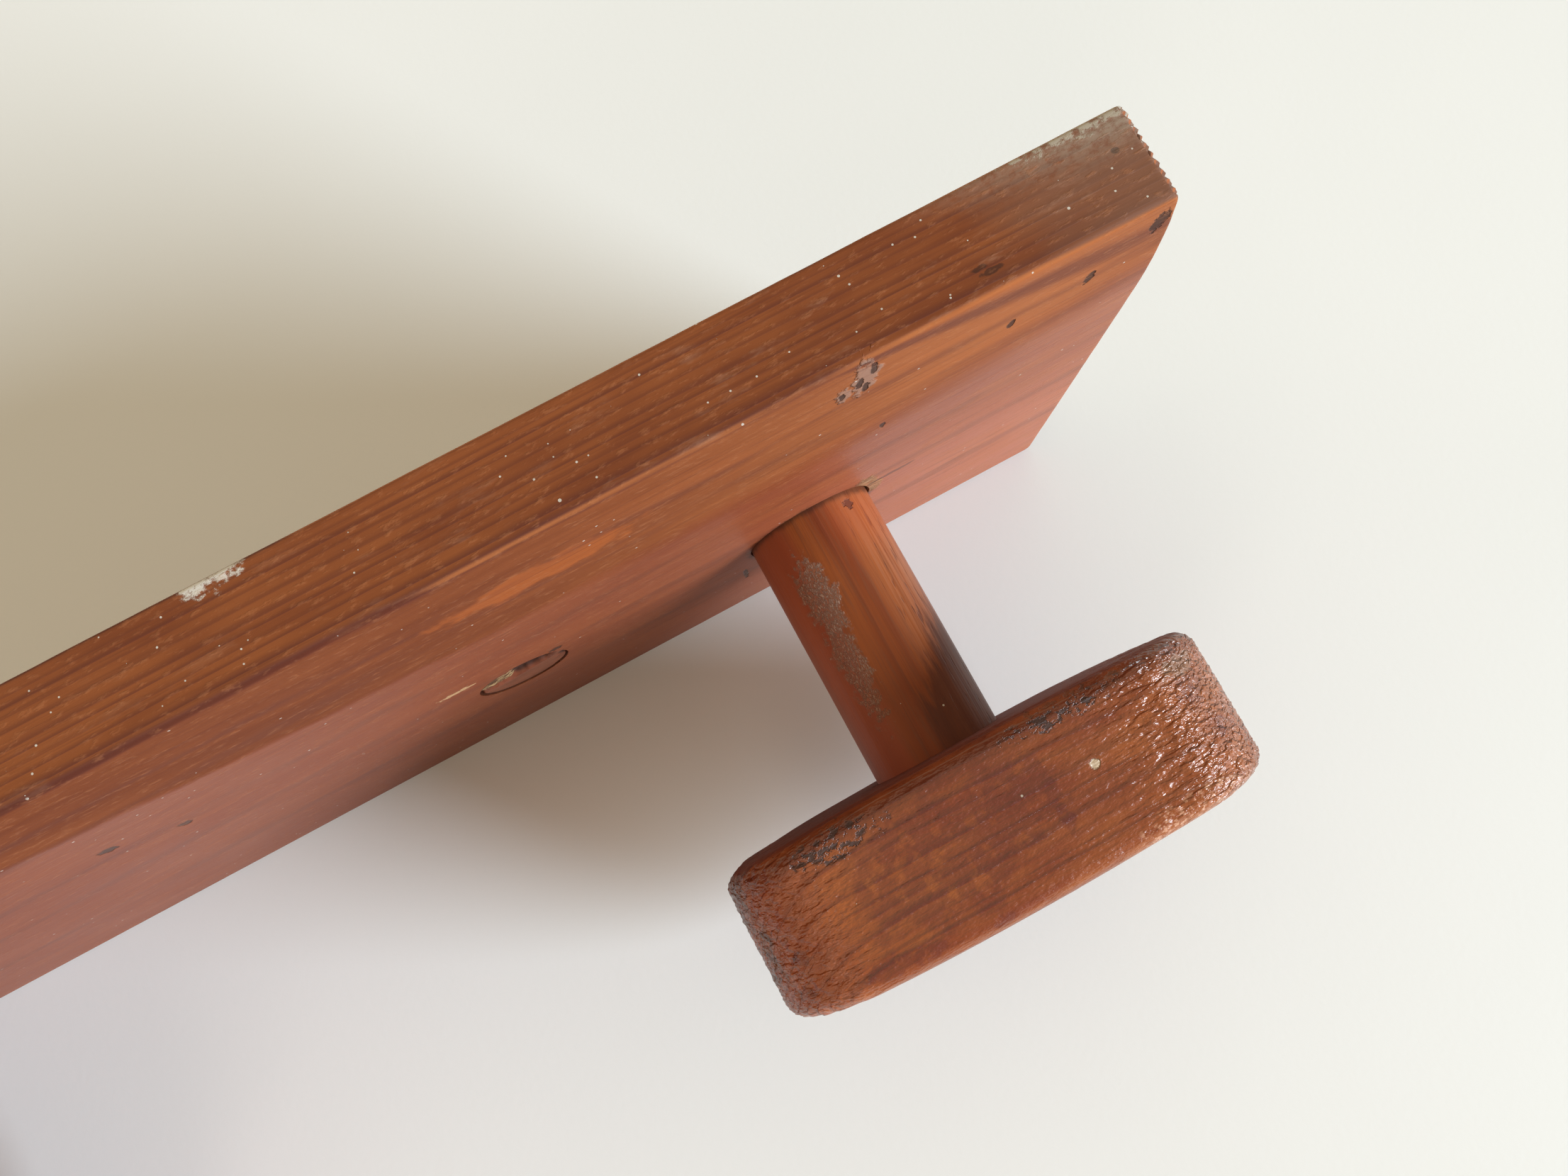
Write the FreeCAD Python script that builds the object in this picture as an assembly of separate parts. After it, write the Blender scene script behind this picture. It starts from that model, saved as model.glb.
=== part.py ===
import FreeCAD, Part
import math
import os

# Wall coat rack: a varnished board with four T-shaped wooden pegs.
# Frame: origin at the centre of the board's back face, +X along the board to the right
# (seen from the room), -Y out into the room, +Z up. Millimetres.

# Board
BOARD_LENGTH = 800.0
BOARD_HEIGHT = 123.0
BOARD_THICKNESS = 15.0
END_STRAIGHT = 88.0        # straight lower stretch of each end, above it the end leans in
END_SETBACK = 4.5          # how far the top corners are set in from the lower ones
BOTTOM_CORNER_RADIUS = 2.0
TOP_CORNER_RADIUS = 1.5
FRONT_EDGE_RADIUS = 1.0
BACK_EDGE_RADIUS = 0.6

# Pegs
PEG_COUNT = 4
PEG_FROM_END = 58.5        # first peg's axis from the board's end
PEG_FROM_BOTTOM = 45.5     # peg axis above the board's lower edge
DOWEL_DIAMETER = 25.0
DOWEL_EXPOSED = 49.0       # bare dowel between the board and the head
BOARD_SOCKET_DEPTH = 10.0
HEAD_SOCKET_DEPTH = 15.0

# T-shaped head on each peg
HEAD_LENGTH = 92.0
HEAD_SHIFT = 1.2           # how far each head sits outboard of its dowel's axis
HEAD_HEIGHT = 58.0
HEAD_THICKNESS = 29.0
HEAD_FRONT_BOW = 1.5       # how far the front face swells at mid length
HEAD_BACK_BOW = 1.0        # the same on the face towards the board
HEAD_CORNER_RADIUS = 17.0  # the four corners of the front view
HEAD_EDGE_RADIUS = 3.5     # the rim round the front and back faces

# Countersunk wood screw through the board into each dowel, 4 x 35
SCREW_LENGTH = 35.0
SCREW_DIAMETER = 4.0
SCREW_HEAD_DIAMETER = 8.0
SCREW_TIP_LENGTH = 6.0
SCREW_HEAD_SINK = 0.3      # how far the head lies below the board's back face
SCREW_HOLE_DIAMETER = 4.5
RECESS_LENGTH = 4.2        # cross recess for the driver
RECESS_WIDTH = 0.9
RECESS_DEPTH = 1.6

# Wall screw holes, each counterbored from the front and closed by a wooden plug
WALL_HOLE_FROM_PEG = 60.5  # inboard of the first peg at each end
WALL_HOLE_FROM_BOTTOM = 47.0
WALL_HOLE_DIAMETER = 5.0
PLUG_DIAMETER = 17.6
COUNTERBORE_DEPTH = 9.0
PLUG_THICKNESS = 5.8
PLUG_SINK = 0.2            # plug's face below the board's face
PLUG_BEVEL = 0.2

FRONT = -BOARD_THICKNESS
BOTTOM = -BOARD_HEIGHT / 2
TOP = BOARD_HEIGHT / 2
PEG_Z = BOTTOM + PEG_FROM_BOTTOM
WALL_HOLE_Z = BOTTOM + WALL_HOLE_FROM_BOTTOM
HEAD_BACK = FRONT - DOWEL_EXPOSED
OUTWARD = FreeCAD.Vector(0, -1, 0)


def peg_places():
    """X of each peg's axis, evenly spaced from left to right."""
    first = -BOARD_LENGTH / 2 + PEG_FROM_END
    pitch = -2 * first / (PEG_COUNT - 1)
    return [first + pitch * number for number in range(PEG_COUNT)]


def wall_hole_places():
    reach = BOARD_LENGTH / 2 - PEG_FROM_END - WALL_HOLE_FROM_PEG
    return {"left": -reach, "right": reach}


def point(x, y, z):
    return FreeCAD.Vector(x, y, z)


def rod(start, diameter, length):
    """Cylinder from the start point out towards the room."""
    return Part.makeCylinder(diameter / 2, length, start, OUTWARD)


def backboard():
    half = BOARD_LENGTH / 2
    bend = BOTTOM + END_STRAIGHT
    rise = TOP - bend
    lean_radius = (rise ** 2 + END_SETBACK ** 2) / (2 * END_SETBACK)
    half_turn = math.asin(rise / lean_radius) / 2
    middle_x = half - lean_radius * (1 - math.cos(half_turn))
    middle_z = bend + lean_radius * math.sin(half_turn)
    corners = {
        "low_left": point(-half, 0, BOTTOM),
        "low_right": point(half, 0, BOTTOM),
        "bend_right": point(half, 0, bend),
        "high_right": point(half - END_SETBACK, 0, TOP),
        "high_left": point(END_SETBACK - half, 0, TOP),
        "bend_left": point(-half, 0, bend),
    }
    edges = [
        Part.makeLine(corners["low_left"], corners["low_right"]),
        Part.makeLine(corners["low_right"], corners["bend_right"]),
        Part.Arc(corners["bend_right"], point(middle_x, 0, middle_z), corners["high_right"]).toShape(),
        Part.makeLine(corners["high_right"], corners["high_left"]),
        Part.Arc(corners["high_left"], point(-middle_x, 0, middle_z), corners["bend_left"]).toShape(),
        Part.makeLine(corners["bend_left"], corners["low_left"]),
    ]
    board = Part.Face(Part.Wire(edges)).extrude(OUTWARD * BOARD_THICKNESS)
    board = round_cross_edges(board, BOTTOM, BOTTOM_CORNER_RADIUS)
    board = round_cross_edges(board, TOP, TOP_CORNER_RADIUS)
    board = round_rim(board, FRONT, FRONT_EDGE_RADIUS)
    board = round_rim(board, 0, BACK_EDGE_RADIUS)
    for x in peg_places():
        floor = point(x, FRONT + BOARD_SOCKET_DEPTH, PEG_Z)
        board = board.cut(rod(floor, DOWEL_DIAMETER, BOARD_SOCKET_DEPTH + 1))
        board = board.cut(rod(point(x, 1, PEG_Z), SCREW_HOLE_DIAMETER, BOARD_THICKNESS))
        board = board.cut(screw_cone(x))
    for x in wall_hole_places().values():
        floor = point(x, FRONT + COUNTERBORE_DEPTH, WALL_HOLE_Z)
        board = board.cut(rod(floor, PLUG_DIAMETER, COUNTERBORE_DEPTH + 1))
        board = board.cut(rod(point(x, 1, WALL_HOLE_Z), WALL_HOLE_DIAMETER, BOARD_THICKNESS))
    return board


def round_cross_edges(solid, height, radius):
    """Round the edges that cross the board's thickness at the given height."""
    chosen = [edge for edge in solid.Edges
              if all(abs(vertex.Z - height) < 1e-6 for vertex in edge.Vertexes)
              and abs(edge.Vertexes[0].X - edge.Vertexes[-1].X) < 1e-6]
    return solid.makeFillet(radius, chosen)


def round_rim(solid, depth, radius):
    """Round every edge that lies flat at the given depth (Y)."""
    chosen = [edge for edge in solid.Edges
              if abs(edge.BoundBox.Center.y - depth) < 1e-6 and edge.BoundBox.YLength < 1e-6]
    return solid.makeFillet(radius, chosen)


def peg_dowel(x):
    start = point(x, FRONT + BOARD_SOCKET_DEPTH, PEG_Z)
    length = BOARD_SOCKET_DEPTH + DOWEL_EXPOSED + HEAD_SOCKET_DEPTH
    return rod(start, DOWEL_DIAMETER, length).cut(screw_body(x))


def peg_head(x):
    """Block with bowed front and back faces, its ends rounded down and its rims softened."""
    middle = x + math.copysign(HEAD_SHIFT, x)
    left = middle - HEAD_LENGTH / 2
    right = middle + HEAD_LENGTH / 2
    back = HEAD_BACK
    front = HEAD_BACK - HEAD_THICKNESS
    back_end = back - HEAD_BACK_BOW
    front_end = front + HEAD_FRONT_BOW
    low = PEG_Z - HEAD_HEIGHT / 2
    back_arc = [point(left, back_end, low), point(middle, back, low), point(right, back_end, low)]
    front_arc = [point(right, front_end, low), point(middle, front, low), point(left, front_end, low)]
    edges = [
        Part.Arc(*back_arc).toShape(),
        Part.makeLine(back_arc[-1], front_arc[0]),
        Part.Arc(*front_arc).toShape(),
        Part.makeLine(front_arc[-1], back_arc[0]),
    ]
    block = Part.Face(Part.Wire(edges)).extrude(point(0, 0, HEAD_HEIGHT))
    across = [edge for edge in block.Edges if edge.BoundBox.YLength > HEAD_THICKNESS / 2]
    block = block.makeFillet(HEAD_CORNER_RADIUS, across)
    rims = [edge for edge in block.Edges if edge.BoundBox.YLength < HEAD_THICKNESS / 2]
    block = block.makeFillet(HEAD_EDGE_RADIUS, rims)
    return block.cut(rod(point(x, HEAD_BACK + 1, PEG_Z), DOWEL_DIAMETER, HEAD_SOCKET_DEPTH + 1))


def screw_cone(x):
    """Head of the countersunk screw, drawn out past the board's back face."""
    depth = SCREW_HEAD_DIAMETER / 2
    sunk = Part.makeCone(SCREW_HEAD_DIAMETER / 2, 0, depth, point(x, -SCREW_HEAD_SINK, PEG_Z), OUTWARD)
    mouth = Part.makeCylinder(SCREW_HEAD_DIAMETER / 2, SCREW_HEAD_SINK + 1, point(x, 1, PEG_Z), OUTWARD)
    return sunk.fuse(mouth)


def screw_body(x):
    """Screw without its driver recess."""
    top = -SCREW_HEAD_SINK
    radius = SCREW_DIAMETER / 2
    head_radius = SCREW_HEAD_DIAMETER / 2
    tip_start = top - SCREW_LENGTH + SCREW_TIP_LENGTH
    profile = Part.makePolygon([
        point(x, top, PEG_Z),
        point(x + head_radius, top, PEG_Z),
        point(x + radius, top - head_radius + radius, PEG_Z),
        point(x + radius, tip_start, PEG_Z),
        point(x, top - SCREW_LENGTH, PEG_Z),
        point(x, top, PEG_Z),
    ])
    return Part.Face(profile).revolve(point(x, 0, PEG_Z), OUTWARD, 360)


def peg_screw(x):
    slots = [(RECESS_LENGTH, RECESS_WIDTH), (RECESS_WIDTH, RECESS_LENGTH)]
    screw = screw_body(x)
    for width, height in slots:
        corner = point(x - width / 2, -SCREW_HEAD_SINK - RECESS_DEPTH, PEG_Z - height / 2)
        screw = screw.cut(Part.makeBox(width, RECESS_DEPTH + 1, height, corner))
    return screw


def screw_plug(x):
    """Round wooden plug, nearly level with the board's face, with a fine bevel round its rim."""
    face_level = FRONT + PLUG_SINK
    plug = rod(point(x, face_level + PLUG_THICKNESS, WALL_HOLE_Z), PLUG_DIAMETER, PLUG_THICKNESS)
    rim = [edge for edge in plug.Edges
           if edge.Closed and abs(edge.BoundBox.Center.y - face_level) < 1e-6]
    return plug.makeChamfer(PLUG_BEVEL, rim)


def write(node, shape):
    print(node, "valid", shape.isValid(), "solids", len(shape.Solids), "volume", round(shape.Volume, 1))
    shape.exportStep("parts/" + node + ".step")


os.makedirs("parts", exist_ok=True)
write("backboard", backboard())
for number, place in enumerate(peg_places(), start=1):
    write("peg_dowel_" + str(number), peg_dowel(place))
    write("peg_head_" + str(number), peg_head(place))
write("peg_screws", Part.makeCompound([peg_screw(place) for place in peg_places()]))
for side, place in wall_hole_places().items():
    write("screw_plug_" + side, screw_plug(place))
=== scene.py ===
import math

import bpy
import numpy as np
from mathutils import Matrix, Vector, noise


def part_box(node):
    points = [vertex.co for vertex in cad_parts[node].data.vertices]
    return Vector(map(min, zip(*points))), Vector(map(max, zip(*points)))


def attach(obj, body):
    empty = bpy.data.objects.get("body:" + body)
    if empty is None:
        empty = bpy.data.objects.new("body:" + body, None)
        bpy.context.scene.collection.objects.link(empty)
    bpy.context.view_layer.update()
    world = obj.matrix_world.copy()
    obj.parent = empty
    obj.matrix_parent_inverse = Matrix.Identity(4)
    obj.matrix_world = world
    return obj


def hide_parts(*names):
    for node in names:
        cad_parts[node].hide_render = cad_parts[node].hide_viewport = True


# Looks of the wall coat rack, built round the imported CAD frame. Shapes and patterns are worked
# out in millimetres in the row frame, and meshes are scaled to metres when they are made.

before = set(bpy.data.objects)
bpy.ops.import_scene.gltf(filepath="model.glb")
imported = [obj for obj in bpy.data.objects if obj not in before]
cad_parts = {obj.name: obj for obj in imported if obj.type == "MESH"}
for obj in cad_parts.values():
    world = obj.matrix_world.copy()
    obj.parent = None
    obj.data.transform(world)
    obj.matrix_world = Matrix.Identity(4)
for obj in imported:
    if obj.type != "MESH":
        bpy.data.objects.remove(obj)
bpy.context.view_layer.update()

MM = 0.001


def in_mm(node):
    low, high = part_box(node)
    return np.array(low) / MM, np.array(high) / MM


BOARD_LOW, BOARD_HIGH = in_mm("backboard")
PEGS = range(1, 5)
DOWEL_BOXES = {number: in_mm("peg_dowel_" + str(number)) for number in PEGS}
HEAD_BOXES = {number: in_mm("peg_head_" + str(number)) for number in PEGS}
PLUG_BOXES = {side: in_mm("screw_plug_" + side) for side in ("left", "right")}

NEAR_PEG = 4  # the peg beside the board's right end
PEG_X = {number: (low[0] + high[0]) / 2 for number, (low, high) in DOWEL_BOXES.items()}
PEG_Z = (DOWEL_BOXES[1][0][2] + DOWEL_BOXES[1][1][2]) / 2
DOWEL_RADIUS = (DOWEL_BOXES[1][1][2] - DOWEL_BOXES[1][0][2]) / 2
PLUG_X = {side: (low[0] + high[0]) / 2 for side, (low, high) in PLUG_BOXES.items()}
PLUG_Z = (PLUG_BOXES["right"][0][2] + PLUG_BOXES["right"][1][2]) / 2
PLUG_RADIUS = (PLUG_BOXES["right"][1][2] - PLUG_BOXES["right"][0][2]) / 2
BOARD_FRONT = BOARD_LOW[1]
BOARD_TOP = BOARD_HIGH[2]
BOARD_END = BOARD_HIGH[0]
HEAD_MIDDLE = (HEAD_BOXES[NEAR_PEG][0] + HEAD_BOXES[NEAR_PEG][1]) / 2
HEAD_HALF = (HEAD_BOXES[NEAR_PEG][1] - HEAD_BOXES[NEAR_PEG][0]) / 2

# Growth rings, for the shapes as for the looks
RING_LEVEL = -20.0  # height at which the board's rings lie parallel to its face
RING_RADIUS = 400.0  # how they curve away above and below it
HEAD_PITH = (70.0, -45.0)  # the rings' centre, back (Y) and up (Z) from a head's middle

SHARP = math.radians(40)  # edges sharper than this are not shaded smooth


# ------------ mesh helpers

def ripple(points, size, seed=0.0):
    """Smooth random value from -1 to 1 at each point; size is the feature size along each axis."""
    scaled = points / np.array(size, float) + seed
    return np.array([noise.noise(Vector(place)) for place in scaled])


def divide(low, high, step, fine, margin):
    """Places from low to high: close together within the margin at each end, wider between."""
    rim = np.arange(0, margin, fine)
    count = max(2, round((high - low - 2 * margin) / step))
    middle = np.linspace(low + margin, high - margin, count + 1)
    return np.concatenate([low + rim, middle, high - rim[::-1]])


def box_grid(xs, ys, zs):
    """Points and quads of a closed box whose sides are divided at the given places."""
    sides = (xs, ys, zs)
    index = {}
    points = []
    quads = []

    def corner(cell):
        if cell not in index:
            index[cell] = len(points)
            points.append((xs[cell[0]], ys[cell[1]], zs[cell[2]]))
        return index[cell]

    for axis in range(3):
        across, along = (axis + 1) % 3, (axis + 2) % 3
        for end in (0, len(sides[axis]) - 1):
            for a in range(len(sides[across]) - 1):
                for b in range(len(sides[along]) - 1):
                    ring = [(a, b), (a + 1, b), (a + 1, b + 1), (a, b + 1)]
                    if end == 0:
                        ring.reverse()
                    quad = []
                    for first, second in ring:
                        cell = [0, 0, 0]
                        cell[axis], cell[across], cell[along] = end, first, second
                        quad.append(corner(tuple(cell)))
                    quads.append(quad)
    return np.array(points), quads


def round_block(points, low, high, low_corner, high_corner, front_rim, back_rim):
    """Pull a box's points onto a block with rounded corners in front view and rounded rims.
    Returns the points and the surface's outward directions."""
    middle = (low + high) / 2
    rim = np.where(points[:, 1] < middle[1], front_rim, back_rim)[:, None]
    corner = np.where(points[:, 2] > middle[2], high_corner, low_corner)
    flat = points[:, [0, 2]]
    core = np.stack([np.clip(flat[:, 0], low[0] + corner, high[0] - corner),
                     np.clip(flat[:, 1], low[2] + corner, high[2] - corner)], axis=1)
    away = flat - core
    distance = np.linalg.norm(away, axis=1, keepdims=True)
    reach = np.minimum(distance, corner[:, None] - rim)
    inner_flat = core + away / np.maximum(distance, 1e-9) * reach
    inner_y = np.clip(points[:, 1], low[1] + front_rim, high[1] - back_rim)
    inner = np.stack([inner_flat[:, 0], inner_y, inner_flat[:, 1]], axis=1)
    outward = points - inner
    outward /= np.linalg.norm(outward, axis=1, keepdims=True)
    return inner + outward * rim, outward


def rim_share(outward):
    """1 in the middle of a rounded rim, 0 on the flat faces."""
    return np.minimum(np.abs(outward[:, 1]), np.hypot(outward[:, 0], outward[:, 2])) * math.sqrt(2)


def make_mesh(name, points, faces):
    """A smooth-shaded mesh object from points in millimetres."""
    mesh = bpy.data.meshes.new(name)
    mesh.from_pydata((np.asarray(points) * MM).tolist(), [], [list(face) for face in faces])
    mesh.shade_smooth()
    mesh.set_sharp_from_angle(angle=SHARP)
    mesh.update()
    piece = bpy.data.objects.new(name, mesh)
    bpy.context.scene.collection.objects.link(piece)
    return piece


def mark(piece, name, values):
    """Store one number per point for the material to read."""
    attribute = piece.data.attributes.new(name, "FLOAT", "POINT")
    attribute.data.foreach_set("value", np.asarray(values, np.float32))


def turned(profile, centre_x, centre_z, segments, shape=None):
    """Points and faces of a solid turned about an axis along Y. The profile is a list of
    (y, radius); shape(angle, y) returns what is added to the radius."""
    angles = np.arange(segments) * 2 * math.pi / segments
    points = []
    for y, radius in profile:
        added = shape(angles, y) if shape else 0 * angles
        grown = radius + added
        points += zip(centre_x + grown * np.sin(angles), y + 0 * angles, centre_z + grown * np.cos(angles))
    faces = []
    for row in range(len(profile) - 1):
        for step in range(segments):
            after = (step + 1) % segments
            a, b = row * segments + step, row * segments + after
            faces.append([a, b, b + segments, a + segments])
    faces.append(list(range(segments))[::-1])
    last = (len(profile) - 1) * segments
    faces.append(list(range(last, last + segments)))
    if profile[0][0] > profile[-1][0]:
        faces = [face[::-1] for face in faces]
    return points, faces


def join_parts(parts):
    """Points and faces of several parts as one list each."""
    points, faces = [], []
    for part_points, part_faces in parts:
        offset = len(points)
        points += list(part_points)
        faces += [[offset + corner for corner in face] for face in part_faces]
    return points, faces


def cut_away(piece, cutter):
    """Take the cutter's volume out of the piece for good, and delete the cutter."""
    cut = piece.modifiers.new("cut", "BOOLEAN")
    cut.operation = "DIFFERENCE"
    cut.solver = "EXACT"
    cut.object = cutter
    evaluated = piece.evaluated_get(bpy.context.evaluated_depsgraph_get())
    result = bpy.data.meshes.new_from_object(evaluated)
    piece.modifiers.clear()
    piece.data = result
    piece.data.shade_smooth()
    piece.data.set_sharp_from_angle(angle=SHARP)
    bpy.data.objects.remove(cutter)


def install(piece, node, material):
    """Let the piece stand for a CAD node and its material."""
    piece.data.materials.clear()
    piece.data.materials.append(material)
    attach(piece, "root")
    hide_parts(node)


# ------------ materials

def add_node(tree, kind, inputs=None, **settings):
    node = tree.nodes.new("ShaderNode" + kind)
    for key, value in settings.items():
        setattr(node, key, value)
    for key, value in (inputs or {}).items():
        if isinstance(value, bpy.types.NodeSocket):
            tree.links.new(value, node.inputs[key])
        else:
            node.inputs[key].default_value = value
    return node


class Look:
    """A material under construction. Most calls add a node and return its output socket. Paint,
    roughen and lift build up the surface."""

    def __init__(self, name, roughness):
        self.material = bpy.data.materials.new(name)
        self.material.use_nodes = True
        self.tree = self.material.node_tree
        self.tree.nodes.clear()
        metres = self.add("TexCoord").outputs["Object"]
        self.place = self.vector("MULTIPLY", metres, (1 / MM, 1 / MM, 1 / MM))
        self.x, self.y, self.z = self.add("SeparateXYZ", {0: self.place}).outputs
        normal = self.add("NewGeometry").outputs["Normal"]
        self.facing = self.add("SeparateXYZ", {0: normal}).outputs
        self.skin = None
        self.roughness = [roughness]
        self.raised = []

    def add(self, kind, inputs=None, **settings):
        return add_node(self.tree, kind, inputs, **settings)

    def vector(self, operation, *values):
        return self.add("VectorMath", dict(enumerate(values)), operation=operation).outputs[0]

    def math(self, operation, *values):
        return self.add("Math", dict(enumerate(values)), operation=operation).outputs[0]

    def chain(self, operation, values):
        result = values[0]
        for value in values[1:]:
            result = self.math(operation, result, value)
        return result

    def product(self, *values):
        return self.chain("MULTIPLY", values)

    def total(self, *values):
        return self.chain("ADD", values)

    def most(self, *values):
        return self.chain("MAXIMUM", values)

    def less(self, first, second):
        return self.math("SUBTRACT", first, second)

    def away(self, first, second, first_middle, second_middle):
        """Distance in mm from an axis."""
        squares = [self.math("POWER", self.less(first, first_middle), 2.0),
                   self.math("POWER", self.less(second, second_middle), 2.0)]
        return self.math("SQRT", self.total(*squares))

    def fade(self, value, start, end):
        """0 up to the start, 1 past the end, smooth between."""
        inputs = {"Value": value, "From Min": start, "From Max": end}
        return self.add("MapRange", inputs, interpolation_type="SMOOTHSTEP").outputs[0]

    def between(self, value, low, high, soft):
        """1 from low to high, with soft ends."""
        rise = self.fade(value, low - soft, low + soft)
        fall = self.fade(value, high + soft, high - soft)
        return self.product(rise, fall)

    def cloud(self, size, detail=2.0, roughness=0.5, seed=0.0):
        """Noise from 0 to 1 with features of the given size in mm along X, Y and Z."""
        scaled = self.vector("MULTIPLY", self.place, tuple(1 / length for length in size))
        moved = self.vector("ADD", scaled, (seed, seed * 1.7, seed * 2.3))
        inputs = {"Vector": moved, "Scale": 1.0, "Detail": detail, "Roughness": roughness}
        return self.add("TexNoise", inputs).outputs[0]

    def blots(self, start, end, *cloud, **seed):
        """A cloud faded from start to end, so that it breaks into blots."""
        return self.fade(self.cloud(*cloud, **seed), start, end)

    def spots(self, size, share, radius, seed):
        """Small round spots in a share of the cells of the given size in mm. The radius of the
        largest is in cell sizes."""
        scaled = self.vector("MULTIPLY", self.place, (1 / size, 1 / size, 1 / size))
        moved = self.vector("ADD", scaled, (seed, seed, seed))
        cell = self.add("TexVoronoi", {"Vector": moved, "Scale": 1.0})
        chance = self.add("SeparateXYZ", {0: cell.outputs["Color"]}).outputs[0]
        grown = self.product(self.fade(chance, 1 - share, 1.2 - share), radius)
        return self.math("LESS_THAN", cell.outputs["Distance"], grown)

    def patch(self, centre, size, rough, grain):
        """1 inside an ellipsoid, 0 outside. Rough is how ragged its outline is, and grain is the
        size of the raggedness in mm."""
        offset = self.vector("SUBTRACT", self.place, tuple(centre))
        scaled = self.vector("DIVIDE", offset, tuple(size))
        distance = self.add("VectorMath", {0: scaled}, operation="LENGTH").outputs["Value"]
        ragged = self.less(self.cloud((grain, grain, grain), 3.0), 0.5)
        return self.fade(self.total(distance, self.product(ragged, rough * 2)), 1.15, 0.75)

    def mix(self, share, first, second):
        inputs = {0: share, 6: self.colour(first), 7: self.colour(second)}
        return self.add("Mix", inputs, data_type="RGBA").outputs[2]

    def colour(self, value):
        return (*value, 1) if isinstance(value, tuple) else value

    def attribute(self, name):
        return self.add("Attribute", attribute_name=name).outputs["Fac"]

    def late_wood(self, depth, spacing, wander):
        """Growth rings: 0 in pale early wood, rising to 1 in dark late wood, then a clean edge.
        Good and bad years make them uneven in width and in strength."""
        years = {"W": self.product(depth, 0.45 / spacing), "Scale": 1.0, "Detail": 1.0}
        uneven = self.add("TexNoise", years, noise_dimensions="1D").outputs[0]
        turns = self.total(self.math("DIVIDE", depth, spacing), wander, self.product(uneven, 1.6))
        tooth = self.math("FRACT", turns)
        year = self.add("TexNoise", {"W": self.math("FLOOR", turns), "Scale": 0.73}, noise_dimensions="1D")
        strength = self.fade(year.outputs[0], 0.3, 0.65)
        return self.product(self.fade(tooth, 0.35, 0.88), self.fade(tooth, 1.0, 0.9), strength)

    def paint(self, colour, *shares):
        """Blend a colour over the surface by the product of the shares."""
        self.skin = self.mix(self.product(*shares), self.skin, colour)

    def roughen(self, *shares):
        """Add the product of the shares to the roughness."""
        self.roughness.append(self.product(*shares))

    def lift(self, *shares):
        """Raise the surface by the product of the shares in mm."""
        self.raised.append(self.product(*shares))

    def finish(self, specular=0.5, metallic=0.0):
        """Close the material."""
        relief = {"Strength": 1.0, "Distance": MM, "Height": self.total(*self.raised)}
        normal = self.add("Bump", relief).outputs[0]
        inputs = {"Base Color": self.skin, "Roughness": self.total(*self.roughness), "Normal": normal}
        shader = self.add("BsdfPrincipled", inputs)
        shader.inputs["Specular IOR Level"].default_value = specular
        shader.inputs["Metallic"].default_value = metallic
        output = self.add("OutputMaterial", {"Surface": shader.outputs[0]})
        output.target = "ALL"
        return self.material


RAW_WOOD = (0.60, 0.38, 0.19)
WALL_PAINT = (0.66, 0.64, 0.57)
# Dark brown of real dirt, also painted as shade into the plug holes' walls and hollows.
DIRT_AND_SHADE = (0.035, 0.016, 0.012)
PURPLE = (0.090, 0.026, 0.022)
# Orange of rubbed rims, also used as a painted highlight on rounded rims.
WORN_EDGE_AND_HIGHLIGHT = (0.44, 0.145, 0.045)
WEATHERED = (0.20, 0.098, 0.062)

LAP_X = BOARD_END - 95  # lowest point of the lap mark between the two coats of varnish
LAP_Z = 25.0


def pine(look, late, fibre, tone, pale, deep, late_share):
    """Stained pine under varnish: tone blends two stains, rings and fibres darken it."""
    look.skin = look.mix(look.fade(tone, 0.3, 0.7), deep, pale)
    look.paint((0.105, 0.027, 0.017), late, late_share)
    look.paint((0.12, 0.032, 0.014), look.fade(fibre, 0.5, 0.75), 0.4)


def varnish_nibs(look):
    """Dust caught in the varnish: tiny raised grains that catch the light."""
    return look.spots(2.3, 0.5, 0.07, 41.0)


def board_material():
    look = Look("board varnish over pine", 0.33)
    front = look.fade(look.facing[1], -0.4, -0.9)
    top = look.fade(look.facing[2], 0.4, 0.8)
    to_end = look.fade(look.x, BOARD_END - 125, BOARD_END - 15)
    waver = look.product(look.less(look.cloud((14, 9, 9), seed=11), 0.5), 5.0)
    board_grain(look, front)
    board_coats(look, front, to_end, waver)
    board_streaks(look, front, to_end, waver)
    board_edges(look, top, to_end)
    board_pits(look, front, top)
    board_socket_marks(look, front)
    board_paint(look, front, top)
    board_scuffs(look, front, top, to_end)
    look.lift(varnish_nibs(look), 0.06)
    return look.finish(specular=0.18)


def board_grain(look, front):
    wave = look.cloud((160, 30, 30))
    crown = look.math("POWER", look.less(look.z, RING_LEVEL), 2.0)
    crown = look.product(crown, 0.5 / RING_RADIUS)
    depth = look.total(look.product(look.y, -1.0), crown, look.product(wave, 3.0))
    small_wave = look.product(look.cloud((50, 6, 6), seed=3), 0.35)
    late = look.late_wood(depth, 1.45, small_wave)
    fibre = look.cloud((26, 0.5, 0.5), 3, 0.6, seed=5)
    tone = look.total(look.product(look.cloud((60, 14, 14), seed=8), 0.6),
                      look.product(look.cloud((12, 3, 3), 3, seed=9), 0.4))
    late_share = look.total(0.85, look.product(front, -0.40))
    pine(look, late, fibre, tone, (0.265, 0.078, 0.023), (0.165, 0.042, 0.014), late_share)
    look.lift(late, 0.03)
    look.lift(fibre, 0.04)


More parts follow.
